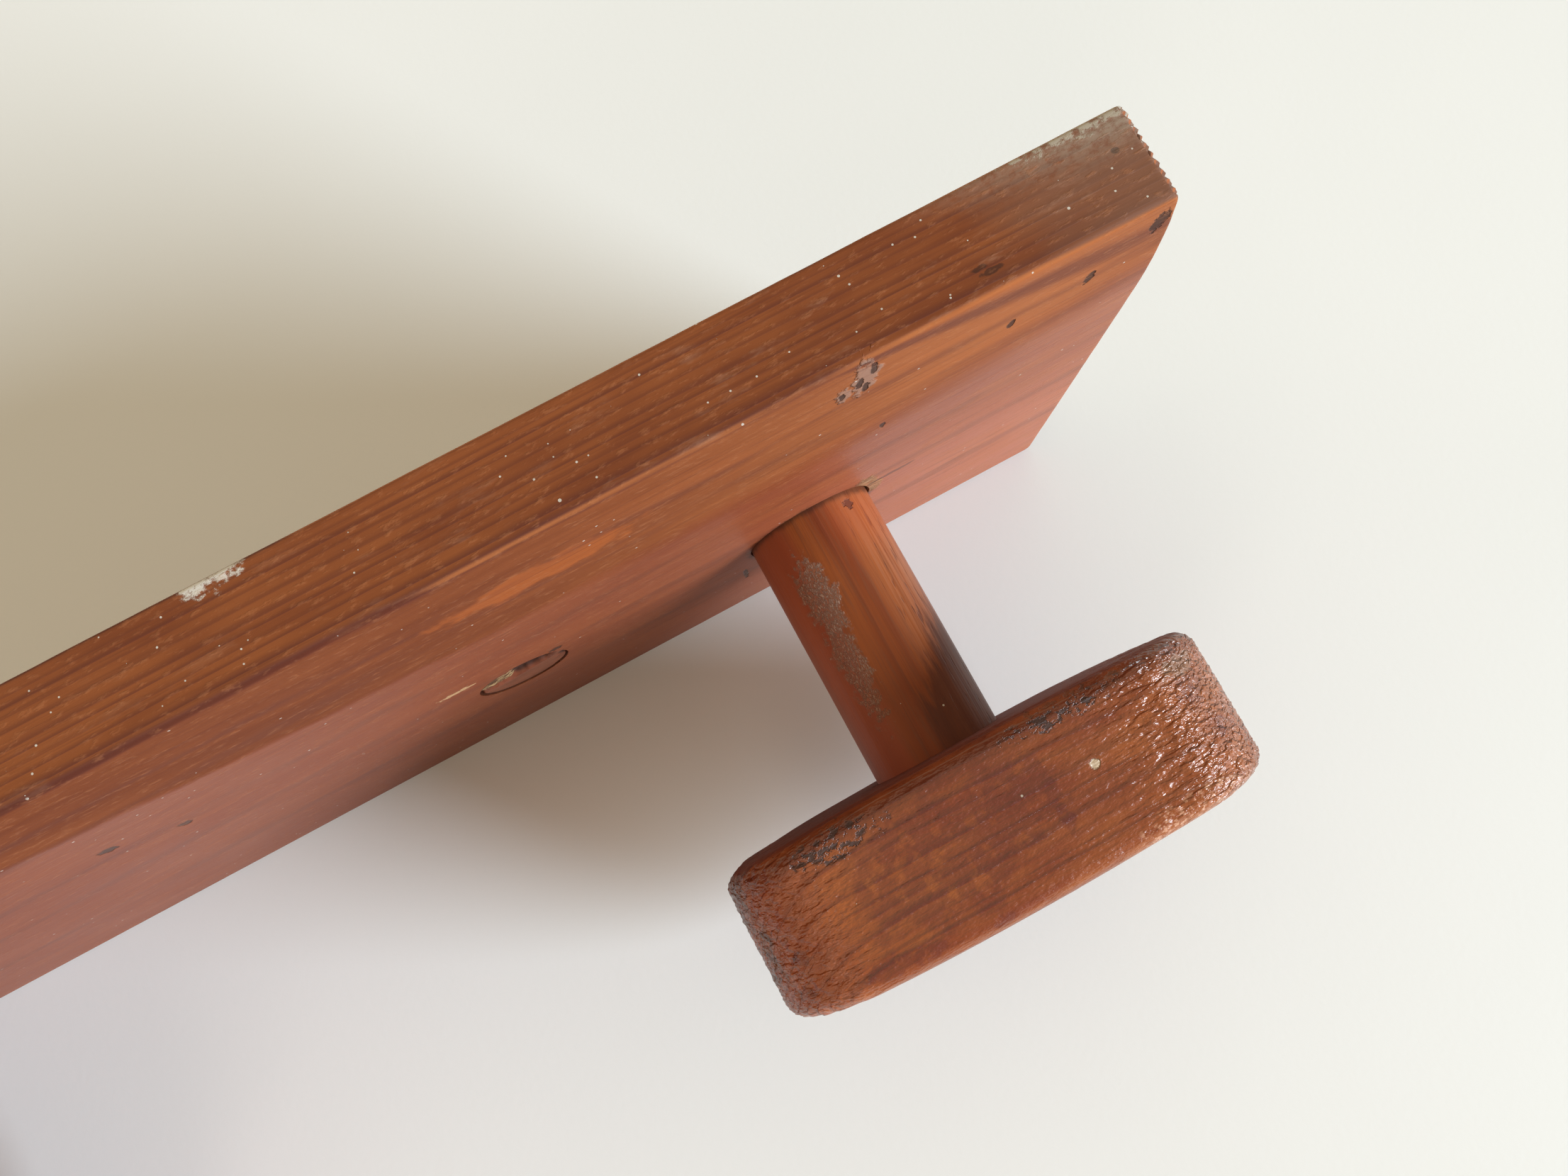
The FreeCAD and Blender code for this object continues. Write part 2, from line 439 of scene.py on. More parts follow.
def board_coats(look, front, to_end, waver):
    """The upper coat of varnish is dull and saturated. It ends in a sagging lap mark along the front,
    and below it the old coat is pinker and glossier. Towards the board's end and low down it is
    painted lighter and pinker still, a painted reflection of the floor."""
    arch = look.math("POWER", look.math("DIVIDE", look.less(look.x, LAP_X), 85), 2.0)
    sag = look.product(look.math("MINIMUM", arch, 1.4), 11.0)
    over_lap = look.less(look.less(look.total(look.z, waver), sag), LAP_Z)
    softness = look.total(1.6, look.product(to_end, 8.0))
    past_lap = look.math("DIVIDE", over_lap, softness)
    upper_coat = look.product(look.fade(past_lap, -1.0, 1.0), front)
    old_coat = look.less(front, upper_coat)
    # Painted reflection: low down and towards the end the old coat is painted lighter and pinker, as the
    # floor would show in it.
    old_coat_and_floor_reflection = look.mix(look.fade(look.z, 28, -30), (0.37, 0.105, 0.054), (0.54, 0.158, 0.082))
    look.paint(look.mix(to_end, (0.225, 0.043, 0.014), old_coat_and_floor_reflection), old_coat, 0.7)
    look.paint(look.mix(to_end, (0.145, 0.028, 0.004), (0.42, 0.130, 0.040)), upper_coat, 0.68)
    clouds = look.blots(0.42, 0.66, (40, 8, 8), 4, 0.6, seed=44)
    look.paint((0.40, 0.115, 0.032), clouds, front, look.total(0.12, look.product(to_end, 0.33)))
    lap_line = look.product(look.fade(look.math("ABSOLUTE", past_lap), 1.2, 0.2), front)
    look.paint((0.20, 0.040, 0.015), lap_line, 0.3)
    bright_run = look.patch((BOARD_END - 101, BOARD_FRONT, 44), (16, 4, 4.6), 0.8, 5.0)
    look.paint((0.46, 0.115, 0.022), bright_run, 0.5)
    look.roughen(upper_coat, 0.36)


def board_streaks(look, front, to_end, waver):
    """Purple-brown streaks along the grain. The strongest lies on the arris and runs down towards
    the end."""
    broken = look.blots(0.30, 0.52, (34, 5, 5), 3, seed=14)
    over_edge = look.total(look.z, look.y, -BOARD_TOP - BOARD_FRONT, look.product(waver, 0.15))
    drop = look.product(look.math("MAXIMUM", look.less(look.x, BOARD_END - 55), 0.0), 0.19)
    aside = look.math("ABSOLUTE", look.total(over_edge, -0.1, drop))
    width = look.total(1.0, look.product(drop, 0.34))
    arris_streak = look.fade(look.math("DIVIDE", aside, width), 1.5, 0.2)
    share = look.total(0.60, look.product(broken, 0.25), look.product(to_end, -0.22))
    look.paint(PURPLE, arris_streak, share)
    streaks = ((47, 1.3, 0.40), (37, 2.2, 0.30), (12, 1.4, 0.32), (-6, 1.8, 0.28), (-30, 2.0, 0.28))
    for level, half_width, strength in streaks:
        streak = look.between(look.total(look.z, waver), level - half_width, level + half_width, 1.6)
        look.paint(PURPLE, streak, broken, front, strength)


def board_edges(look, top, to_end):
    """Painted shade along the upper arris away from the end, wear with a painted highlight on the arris
    near the end, and an end greyed by handling.
    """
    edge = look.attribute("rim")
    # Rubbed wear on the arris near the end, painted light orange; this also stands in for the highlight
    # the rounded edge catches.
    rubbed_and_highlit = look.product(look.fade(edge, 0.25, 0.9),
                          look.blots(0.40, 0.58, (36, 3, 3), 3, seed=17),
                          look.fade(look.z, BOARD_TOP - 5, BOARD_TOP - 2),
                          look.between(look.x, BOARD_END - 125, BOARD_END - 4, 2.0))
    # Painted shade: the upper arris is darkened, most of all away from the end, to hold down the highlight
    # it catches.
    painted_arris_shade = look.product(look.fade(edge, 0.2, 0.8), look.fade(to_end, 0.9, 0.2), look.fade(look.z, 40, 50))
    look.paint((0.085, 0.018, 0.006), painted_arris_shade, 0.55)
    look.paint(WORN_EDGE_AND_HIGHLIGHT, rubbed_and_highlit, 0.6)
    end_noise = look.product(look.cloud((14, 6, 6), 3, seed=18), 24.0)
    dull_end = look.fade(look.total(look.x, end_noise), BOARD_END - 22, BOARD_END + 6)
    look.paint(WEATHERED, dull_end, look.most(top, look.fade(look.facing[0], 0.4, 0.8)), 0.75)
    look.roughen(top, 0.12)
    look.roughen(edge, 0.25)


def board_pits(look, front, top):
    """A run of grey filler, dark pits in the front, dents in the top edge, scrapes by the plug."""
    drip = look.most(look.patch((BOARD_END - 50.3, BOARD_FRONT, 54.6), (2.1, 3, 5.8), 0.9, 1.3),
                     look.patch((BOARD_END - 53.6, BOARD_FRONT, 51.9), (1.2, 3, 2.6), 0.8, 1.0))
    look.paint((0.30, 0.20, 0.155), drip, front, 0.6)
    look.lift(drip, 0.25)
    places = (                 # in from the end, level, half length, half height
        (5.4, 55.5, 1.3, 3.0), (26.2, 44.5, 0.6, 1.3), (14.1, 47.0, 0.8, 2.0), (45.8, 26.9, 0.6, 1.2),
        (51.2, 53.6, 0.6, 1.9), (49.2, 57.0, 0.5, 2.0), (50.2, 50.8, 0.6, 1.6), (53.8, 51.6, 0.5, 1.3),
        (73.2, -31.5, 0.5, 4.2), (111.0, -8.0, 1.2, 1.0), (183.4, 17.5, 1.5, 1.4), (175.2, 8.6, 1.0, 1.4),
    )
    pits = look.most(*[look.patch((BOARD_END - inward, BOARD_FRONT, level), (length, 2, height), 0.8, 0.9)
                       for inward, level, length, height in places])
    pits = look.product(pits, look.fade(look.y, BOARD_FRONT + 2.5, BOARD_FRONT + 1.5))
    look.paint(DIRT_AND_SHADE, pits, 0.85)
    look.lift(pits, -0.35)
    dents = ((30.6, 2.9, 2.0, 0.45), (31.8, 3.9, 1.2, 0.4), (8.5, 9.5, 0.6, 0.4))
    dented = look.most(*[
        look.patch((BOARD_END - inward, BOARD_FRONT + back, BOARD_TOP), (length, width, 2), 0.9, 1.2)
        for inward, back, length, width in dents])
    look.paint(DIRT_AND_SHADE, dented, top, 0.7)
    scrapes = look.patch((BOARD_END - 128.5, BOARD_FRONT, -1.4), (3.4, 2, 0.9), 1.4, 0.9)
    look.paint(RAW_WOOD, scrapes, 0.7)


def board_socket_marks(look, front):
    """Torn pale wood, a glue line and a crack at the near socket, and dirt with painted shade inside the
    plug holes.
    """
    axis = PEG_X[NEAR_PEG]
    torn = look.most(look.patch((axis + 11.6, BOARD_FRONT, PEG_Z + 7.6), (2.6, 3, 4.6), 0.7, 1.3),
                     look.patch((axis + 13.6, BOARD_FRONT, PEG_Z + 3.0), (2.0, 3, 4.0), 0.7, 1.3))
    splinters = look.blots(0.40, 0.60, (4.0, 0.6, 0.6), 3, 0.6, seed=48)
    look.paint((0.52, 0.30, 0.15), torn, look.total(0.35, look.product(splinters, 0.5)))
    ragged = look.product(look.cloud((1.4, 1.4, 1.4), 3, 0.6, seed=19), 3.2)
    ring = look.total(look.away(look.x, look.z, axis, PEG_Z), ragged)
    glue = look.product(look.fade(ring, DOWEL_RADIUS + 3.2, DOWEL_RADIUS + 1.6), look.less(1.0, torn))
    look.paint(DIRT_AND_SHADE, glue, 0.65)
    crack = look.patch((axis + 17.5, BOARD_FRONT, PEG_Z + 6.0), (4.5, 2, 0.8), 0.9, 1.6)
    look.paint(DIRT_AND_SHADE, crack, front, 0.55)
    look.roughen(torn, 0.3)
    look.lift(torn, splinters, 0.5)
    # The plug holes' walls are painted dark: dirt, and painted shade in the recess.
    from_hole = look.away(look.math("ABSOLUTE", look.x), look.z, PLUG_X["right"], PLUG_Z)
    wall = look.product(look.fade(from_hole, PLUG_RADIUS + 0.7, PLUG_RADIUS + 0.2),
                        look.fade(look.y, BOARD_FRONT + 0.02, BOARD_FRONT + 0.25))
    look.paint(DIRT_AND_SHADE, wall, 0.7)


def board_paint(look, front, top):
    """Wall paint along the back of the top edge, thickest at the end, and roller specks."""
    noise_field = look.cloud((1.5, 1.0, 1.0), 4, 0.7, seed=23)
    near_back = look.fade(look.y, -3.4, -0.3)
    run = look.blots(0.5, 0.7, (90, 90, 90), 1, seed=29)
    places = look.most(look.fade(look.x, BOARD_END - 34, BOARD_END - 10),
                       look.between(look.x, BOARD_END - 140, BOARD_END - 131, 2.0),
                       look.product(run, 0.7))
    depth = look.total(noise_field, look.product(near_back, 0.32), look.product(places, 0.30))
    solid = look.product(look.fade(depth, 0.92, 1.12), top, look.fade(look.y, -4.5, -2.5),
                         look.fade(places, 0.05, 0.4))
    inward = look.total(look.x, look.product(look.y, 2.2))
    haze = look.product(look.fade(inward, BOARD_END - 44, BOARD_END - 4), top,
                        look.fade(look.y, -9.0, -0.5), look.fade(noise_field, 0.25, 0.6))
    painted = look.most(solid, look.product(haze, 0.62))
    tint = look.mix(look.fade(look.x, BOARD_END - 60, BOARD_END - 20), WALL_PAINT, (0.42, 0.38, 0.30))
    look.paint(tint, painted, 0.85)
    specks = look.most(look.spots(1.8, 0.60, 0.088, 2.0), look.spots(4, 0.6, 0.06, 4.0))
    upward = look.fade(look.facing[2], 0.2, 0.7)
    few = look.product(look.spots(2.6, 0.35, 0.075, 5.0), front)
    dots = look.most(look.product(specks, upward), few)
    look.paint(WALL_PAINT, dots, 0.75)
    look.roughen(painted, 0.3)
    look.lift(look.most(painted, dots), 0.07)


def board_scuffs(look, front, top, to_end):
    """Pale flecks and dark hairs along the grain, and scuffs on the top edge."""
    flecks = look.blots(0.52, 0.72, (2.6, 0.9, 0.9), 3, 0.65, seed=46)
    look.paint((0.44, 0.175, 0.075), flecks, 0.26)
    hairs = look.blots(0.50, 0.66, (30, 0.7, 0.7), 3, 0.6, seed=52)
    look.paint((0.11, 0.024, 0.012), hairs, front, 0.30)
    scuffs = look.product(look.blots(0.55, 0.75, (9, 2.5, 2.5), 4, 0.65, seed=33), top)
    look.paint((0.36, 0.19, 0.12), scuffs, look.total(0.16, look.product(to_end, 0.26)))
    haze = look.cloud((25, 25, 25), 3, seed=31)
    look.roughen(haze, 0.14)
    look.lift(haze, 0.12)
    look.lift(flecks, 0.05)
    look.lift(scuffs, 0.04)


def dowel_material():
    look = Look("dowel varnish", 0.34)
    step = PEG_X[2] - PEG_X[1]
    repeat = look.math("FLOORED_MODULO", look.less(look.x, PEG_X[1] - step / 2), step)
    from_axis = look.less(repeat, step / 2)
    dowel_grain(look, from_axis)
    dowel_scuff(look, from_axis)
    dowel_stain(look, from_axis)
    specks = look.product(look.spots(3.2, 0.3, 0.08, 3.0), look.fade(look.facing[2], 0.3, 0.8))
    look.paint(WALL_PAINT, specks, 0.85)
    haze = look.cloud((6, 18, 6), 3, seed=31)
    look.roughen(haze, 0.16)
    look.lift(haze, 0.08)
    look.lift(specks, 0.07)
    look.lift(varnish_nibs(look), 0.05)
    return look.finish(specular=0.25)


def dowel_grain(look, from_axis):
    """Straight grain. Stain has pooled down each dowel's left side. The right side, which faces the
    light, is painted paler as a painted highlight, and carries dark dashes."""
    tilt = math.radians(-55)
    depth = look.total(look.product(look.x, math.cos(tilt)), look.product(look.z, math.sin(tilt)))
    wander = look.product(look.cloud((14, 60, 14)), 1.5)
    late = look.late_wood(depth, 1.6, wander)
    fibre = look.cloud((0.45, 24, 0.45), 3, 0.6, seed=5)
    dashes = look.blots(0.60, 0.70, (0.7, 6, 0.7), seed=6)
    tone = look.cloud((7, 60, 7), seed=8)
    pine(look, late, fibre, tone, (0.345, 0.098, 0.026), (0.215, 0.047, 0.014), 0.30)
    grey_grain = look.blots(0.44, 0.66, (0.6, 11, 0.6), 4, 0.65, seed=16)
    look.paint((0.19, 0.072, 0.036), grey_grain, 0.42)
    pooled = look.fade(look.total(from_axis, look.product(tone, 3.0)), -2.5, -5.5)
    look.paint((0.38, 0.092, 0.044), pooled, 0.6)
    # Painted highlight: the right side, turned to the light, is painted paler.
    right = look.fade(from_axis, 2.0, 8.0)
    look.paint((0.50, 0.190, 0.085), right, look.fade(fibre, 0.35, 0.6), 0.5)
    look.paint(PURPLE, dashes, right, 0.6)
    look.lift(late, 0.02)
    look.lift(fibre, 0.05)
    look.lift(dashes, right, -0.08)


def dowel_scuff(look, from_axis):
    """Pale scratched patches on the near dowel, and a brighter red by the board on every dowel."""
    axis = PEG_X[NEAR_PEG]
    top = PEG_Z + DOWEL_RADIUS
    grains = look.blots(0.45, 0.60, (0.26, 0.75, 0.26), 3, 0.8, seed=12)
    lower_patch = look.patch((axis - 6.8, BOARD_FRONT - 28, top - 2), (2.4, 11, 4), 1.2, 1.6)
    worn = look.most(look.patch((axis - 6.1, BOARD_FRONT - 15.0, top - 1.5), (3.4, 7.6, 4), 0.9, 1.6),
                     look.product(lower_patch, 0.75))
    scuffed = look.product(worn, look.total(0.22, look.product(grains, 0.78)))
    look.paint((0.58, 0.43, 0.33), scuffed, 0.78)
    by_board = look.fade(look.y, BOARD_FRONT - 16, BOARD_FRONT - 3)
    look.paint((0.42, 0.088, 0.026), by_board, look.fade(from_axis, -1.0, 5.0), 0.45)
    look.roughen(scuffed, 0.1)
    look.lift(worn, grains, 0.2)


def dowel_stain(look, from_axis):
    """Dark stain that has crept up the near dowel's grain from the head, a small knot, and dirt
    in the joint with the board."""
    axis = PEG_X[NEAR_PEG]
    creep = look.cloud((1.6, 9.0, 1.6), 4, 0.6, seed=15)
    reach = look.total(look.product(look.y, -1.0), look.product(from_axis, 1.3), look.product(creep, 16.0))
    stain = look.product(look.fade(reach, 45.5 - BOARD_FRONT, 52.5 - BOARD_FRONT),
                         look.fade(look.total(from_axis, look.product(creep, 2.0)), -0.6, 2.6),
                         look.fade(look.z, PEG_Z - 4, PEG_Z + 2),
                         look.fade(look.x, axis - 40, axis - 30))
    look.paint((0.085, 0.026, 0.017), stain, look.total(0.60, look.product(creep, 0.35)))
    top = PEG_Z + DOWEL_RADIUS
    knot = look.patch((axis + 6.6, BOARD_FRONT - 2.2, top - 2.2), (1.0, 0.9, 1.6), 1.0, 0.6)
    look.paint(PURPLE, knot, 0.7)
    look.lift(knot, -0.2)
    joint = look.fade(look.total(look.y, look.product(creep, 1.6)), BOARD_FRONT - 0.4, BOARD_FRONT + 0.8)
    look.paint(DIRT_AND_SHADE, joint, 0.6)


def on_head(x, y, z=HEAD_HALF[2]):
    """A place on the near head, measured from its dowel's axis and its middle."""
    return (PEG_X[NEAR_PEG] + x, HEAD_MIDDLE[1] + y, HEAD_MIDDLE[2] + z)


def head_material():
    look = Look("head varnish", 0.24)
    late = head_grain(look)
    head_stains(look, late)
    end = look.attribute("end")
    head_wear(look, end)
    head_surface(look, end)
    return look.finish(specular=0.65)


def head_grain(look):
    """Curved rings, a right end painted lighter as a sheen, a redder left end, and painted shade along the
    back rim.
    """
    far = look.away(look.y, look.z, HEAD_MIDDLE[1] + HEAD_PITH[0], HEAD_MIDDLE[2] + HEAD_PITH[1])
    wander = look.total(look.product(look.cloud((60, 16, 16)), 2.2),
                        look.product(look.cloud((9, 3, 3), seed=2), 0.30))
    late = look.late_wood(far, 1.35, wander)
    fibre = look.cloud((9, 0.45, 0.45), 3, 0.6, seed=5)
    tone = look.total(look.product(look.cloud((30, 9, 9), seed=8), 0.65),
                      look.product(look.cloud((7, 2, 2), 3, seed=9), 0.35))
    pine(look, late, fibre, tone, (0.32, 0.088, 0.023), (0.205, 0.042, 0.015), 0.55)
    middle = HEAD_MIDDLE
    # Painted sheen: the curved right end is painted lighter, as the haze of light on it.
    right_end_sheen = look.fade(look.x, middle[0] + 10, middle[0] + 36)
    look.paint((0.42, 0.132, 0.044), right_end_sheen, look.fade(tone, 0.25, 0.6), 0.5)
    look.paint((0.42, 0.095, 0.038), look.fade(look.x, middle[0] - 26, middle[0] - 42), 0.5)
    # Painted shade: the back rim, which is turned away from the light, is painted dark.
    back_rim = look.fade(look.y, middle[1] + 7.5, middle[1] + 13)
    off_board = look.fade(look.y, BOARD_FRONT - 40, BOARD_FRONT - 45)
    look.paint((0.085, 0.015, 0.009), back_rim, off_board, 0.75)
    look.lift(late, 0.14)
    look.lift(fibre, 0.08)
    return late


def head_stains(look, late):
    """Purple-brown blotches and dark pits over the near head's top, and painted shade on its left end."""
    crossed = look.cloud((2.6, 3.2, 3), 4, 0.6, seed=20)
    places = (                 # place, size, raggedness, grain of the outline, strength
        (on_head(9.8, -1.2), (1.5, 5.5, 4), 0.7, 2.2, 1.0),
        (on_head(-12, 0), (15.0, 10.5, 4), 0.6, 5.0, 0.85),
        (on_head(3, 3), (9.0, 7.5, 4), 0.8, 4.0, 0.8),
        (on_head(-25.7, -10.6), (5.0, 1.8, 4), 0.8, 2.2, 1.0),
        (on_head(-19.4, -11.3), (3.4, 1.4, 4), 0.8, 2.0, 1.0),
        (on_head(-7, -12.6), (2.4, 1.1, 4), 0.8, 2.0, 1.0),
        (on_head(-37.8, -3.0, 24), (1.6, 1.3, 6), 0.7, 1.5, 1.0),
        (on_head(-39.9, -8.3, 22), (2.0, 1.2, 6), 0.7, 1.5, 1.0),
        (on_head(37.8, 4.4, 24), (3.4, 2.6, 6), 0.8, 2.0, 1.0),
        (on_head(39.7, -2.7, 22), (1.8, 2.0, 6), 0.8, 1.5, 1.0),
    )
    blotches = look.most(*[look.product(look.patch(centre, size, rough, grain), strength)
                           for centre, size, rough, grain, strength in places])
    broken = look.fade(crossed, 0.34, 0.50)
    look.paint((0.110, 0.022, 0.017), blotches, broken, look.total(0.6, look.product(late, 0.4)), 0.80)
    # Painted shade: the left end, which curves away from the light, is painted near black in broken
    # patches.
    left_end_shade = look.patch(on_head(-44.0, 1.5, 18), (3.4, 11.0, 14), 0.7, 3.0)
    look.paint((0.050, 0.028, 0.020), left_end_shade, look.fade(crossed, 0.36, 0.60), 0.75)
    left_grain = look.blots(0.47, 0.57, (1.5, 1.1, 1), 3, 0.65, seed=21)
    right_grain = look.blots(0.49, 0.58, (1.7, 1.0, 1), 3, 0.65, seed=22)
    pits = look.most(look.product(look.patch(on_head(-25, 10.4), (8.5, 2.8, 4), 1.0, 2.2), left_grain),
                     look.product(look.patch(on_head(17, 11.8), (11.0, 2.2, 4), 1.0, 2.4), right_grain))
    look.paint(DIRT_AND_SHADE, pits, 0.9)
    look.roughen(pits, 0.35)
    look.lift(pits, -0.12)


def head_wear(look, end):
    """Rims rubbed and painted lighter, also as a painted highlight, rubbed ends, a grey scuff and a pale
    chip on the near head, and paint specks.
    """
    rim_noise = look.blots(0.35, 0.6, (12, 4, 6), 3, seed=17)
    # Rubbed rims, painted lighter; this also stands in for the highlight that the rounded rims catch.
    look.paint(WORN_EDGE_AND_HIGHLIGHT, look.fade(look.attribute("rim"), 0.5, 1.0), rim_noise, 0.4)
    end_noise = look.blots(0.42, 0.6, (5, 2, 2), 4, 0.6, seed=18)
    look.paint((0.36, 0.125, 0.062), look.fade(end, 0.2, 1.0), end_noise, 0.34)
    look.paint((0.25, 0.19, 0.13), look.patch(on_head(37.5, 8.8, 24), (4.0, 2.0, 6), 0.7, 2.0), 0.4)
    chip = look.patch(on_head(18.0, 1.5), (0.9, 0.8, 4), 0.6, 0.8)
    look.paint((0.62, 0.50, 0.36), chip)
    specks = look.product(look.spots(3.4, 0.26, 0.07, 3.0), look.fade(look.facing[2], 0.3, 0.8))
    look.paint(WALL_PAINT, specks, 0.85)
    look.lift(specks, 0.07)
    look.lift(chip, -0.3)


def head_surface(look, end):
    """Wrinkled varnish, strongest at the ends, a run of grains painted bright as glints, and a dull back
    face.
    """
    middle = HEAD_MIDDLE
    haze = look.cloud((7, 7, 7), 3, seed=31)
    wrinkles = look.blots(0.36, 0.60, (4.2, 1.15, 1.4), seed=33)
    to_right = look.fade(look.x, middle[0] + 14, middle[0] + 32)
    wrinkled = look.total(look.product(end, 0.75), look.product(to_right, 0.5), 0.10)
    beads = look.cloud((1.5, 0.75, 0.9), 2, 0.6, seed=35)
    # Painted glints: a run of grains near the front rim of the right end is painted bright.
    glint_place = (middle[0] + 30, middle[1] - 13.0, middle[2] + HEAD_HALF[2])
    bright_run = look.patch(glint_place, (13, 4, 7), 0.4, 3.0)
    grains = look.blots(0.50, 0.64, (1.1, 0.8, 0.8), 2, 0.6, seed=37)
    look.paint((0.80, 0.46, 0.30), grains, bright_run, 0.5)
    look.roughen(haze, 0.14)
    look.roughen(wrinkled, -0.10)
    look.roughen(look.fade(look.facing[1], 0.75, 0.95), 0.5)
    look.lift(haze, 0.10)
    look.lift(beads, look.total(0.22, look.product(wrinkled, 0.30)))
    look.lift(wrinkles, wrinkled, 0.50)
    look.lift(varnish_nibs(look), 0.10)


def plug_material():
    look = Look("plug varnish", 0.38)
    fibre = look.cloud((9, 0.35, 0.35), 3, 0.6, seed=5)
    tone = look.blots(0.3, 0.7, (8, 3, 3))
    look.skin = look.mix(tone, (0.17, 0.045, 0.020), (0.24, 0.066, 0.030))
    look.paint((0.09, 0.026, 0.014), look.fade(fibre, 0.5, 0.7), 0.4)
    raw = look.attribute("raw")
    strands = look.cloud((3.5, 0.6, 0.45), 3, 0.65, seed=7)
    torn = look.mix(look.fade(strands, 0.40, 0.50), (0.58, 0.38, 0.18), (0.12, 0.052, 0.024))
    look.paint(torn, look.fade(look.total(raw, look.product(strands, -0.8)), 0.02, 0.30))
    # The plug's hollow and joint ring are painted dark: dirt in the joint, dirt with painted shade in the
    # hollow where the plug has split away.
    deep = look.attribute("deep")
    look.paint(DIRT_AND_SHADE, look.fade(deep, 0.2, 0.8), 0.85)
    look.roughen(raw, 0.4)
    look.roughen(deep, 0.5)
    look.lift(fibre, 0.08)
    look.lift(raw, fibre, 0.3)
    return look.finish(specular=0.3)


def steel_material():
    look = Look("zinc plated steel", 0.28)
    crystals = look.add("TexVoronoi", {"Vector": look.place, "Scale": 1.6}).outputs["Distance"]
    scratches = look.cloud((3, 0.3, 0.25), 4, 0.6)
    look.skin = look.mix(look.fade(crystals, 0.1, 0.7), (0.50, 0.49, 0.45), (0.62, 0.61, 0.57))
    look.paint((0.25, 0.22, 0.18), look.fade(scratches, 0.62, 0.75))
    look.roughen(scratches, 0.25)
    look.lift(scratches, 0.02)
    return look.finish(metallic=1.0)


def floor_material():
    look = Look("pale table top", 0.5)
    mottle = look.cloud((90, 90, 90), 3)
    look.skin = look.mix(mottle, (0.785, 0.805, 0.80), (0.82, 0.84, 0.835))
    look.roughen(mottle, 0.1)
    look.lift(look.cloud((1.5, 1.5, 1.5)), 0.02)
    return look.finish(specular=0.3)


# ------------ board

BOARD_CORNERS = (2.0, 1.5)  # radius of the lower and of the upper corners
BOARD_RIMS = (1.0, 0.6)  # radius round the front and round the back face
BOARD_RING_SPACING = 1.35
END_SETBACK = 3.9  # the board's top corners lean in by this much
END_BEND_HEIGHT = 35.0  # over this height below the top edge
PAST = 1.0  # how far a cutter reaches past the face that it opens
SOCKET_PLAY = 0.02
FLARE_DEPTH = 1.2  # how deep the torn rim of a peg socket reaches
SCREW_HOLE_RADIUS = 2.25
SCREW_SEAT_RADIUS = 4.0  # of the screw head's seat in the board's back
SCREW_SEAT = (-4.05, -0.3)  # where the seat's taper begins and ends
PLUG_PLAY = 0.1
PLUG_HOLE_FLOOR = -6.0
WALL_HOLE_RADIUS = 2.5
DOWEL_SEGMENTS = 128
HOLE_SEGMENTS = 96


def make_board(material):
    xs = divide(BOARD_LOW[0], BOARD_HIGH[0], 2.6, 0.35, 3.5)
    ys = divide(BOARD_LOW[1], BOARD_HIGH[1], 0.38, 0.3, 1.75)
    zs = divide(BOARD_LOW[2], BOARD_HIGH[2], 2.6, 0.35, 3.5)
    points, quads = box_grid(xs, ys, zs)
    points, outward = round_block(points, BOARD_LOW, BOARD_HIGH, *BOARD_CORNERS, *BOARD_RIMS)
    rim = rim_share(outward)
    points = points - outward * board_relief(points, outward, rim)[:, None]
    points[:, 0] -= end_lean(points)
    board = make_mesh("board", points, quads)
    mark(board, "rim", rim)
    cut_away(board, make_mesh("cutter", *join_parts(board_cutters())))
    install(board, "backboard", material)


def board_relief(points, outward, rim):
    """How deep the surface lies: uneven sanding on the rims, and growth rings that stand proud on
    the ends and the top edge."""
    sanded = 0.06 + 0.06 * ripple(points, (18, 6, 6)) + 0.04 * ripple(points, (4, 2, 2), 5.0)
    curve = (points[:, 2] - RING_LEVEL) ** 2 / (2 * RING_RADIUS)
    rings = -points[:, 1] + curve + 0.6 * ripple(points, (60, 9, 20), 2.0)
    groove = 1 - np.mod(rings / BOARD_RING_SPACING, 1)
    ends = np.abs(outward[:, 0]) > 0.3
    top = np.clip(outward[:, 2], 0, 1)
    sawn = 0.5 + 0.5 * ripple(points, (3, 1.1, 1.1), 8.0)
    near_top = np.clip((points[:, 2] - (BOARD_TOP - 7)) / 5, 0, 1)
    sunk = np.maximum(sanded, 0) * (0.2 + rim) + 0.03 * top * groove
    return sunk + ends * (0.12 + 0.8 * near_top) * groove * (0.3 + 0.7 * sawn)


def end_lean(points):
    """How far each point moves along the board for its ends to lean in above their bend."""
    rise = np.clip(points[:, 2] - (BOARD_TOP - END_BEND_HEIGHT), 0, None)
    radius = (END_BEND_HEIGHT ** 2 + END_SETBACK ** 2) / (2 * END_SETBACK)
    setback = radius - np.sqrt(radius ** 2 - rise ** 2)
    near_end = np.clip((np.abs(points[:, 0]) - 0.7 * BOARD_END) / (0.3 * BOARD_END), 0, 1)
    return np.sign(points[:, 0]) * setback * near_end


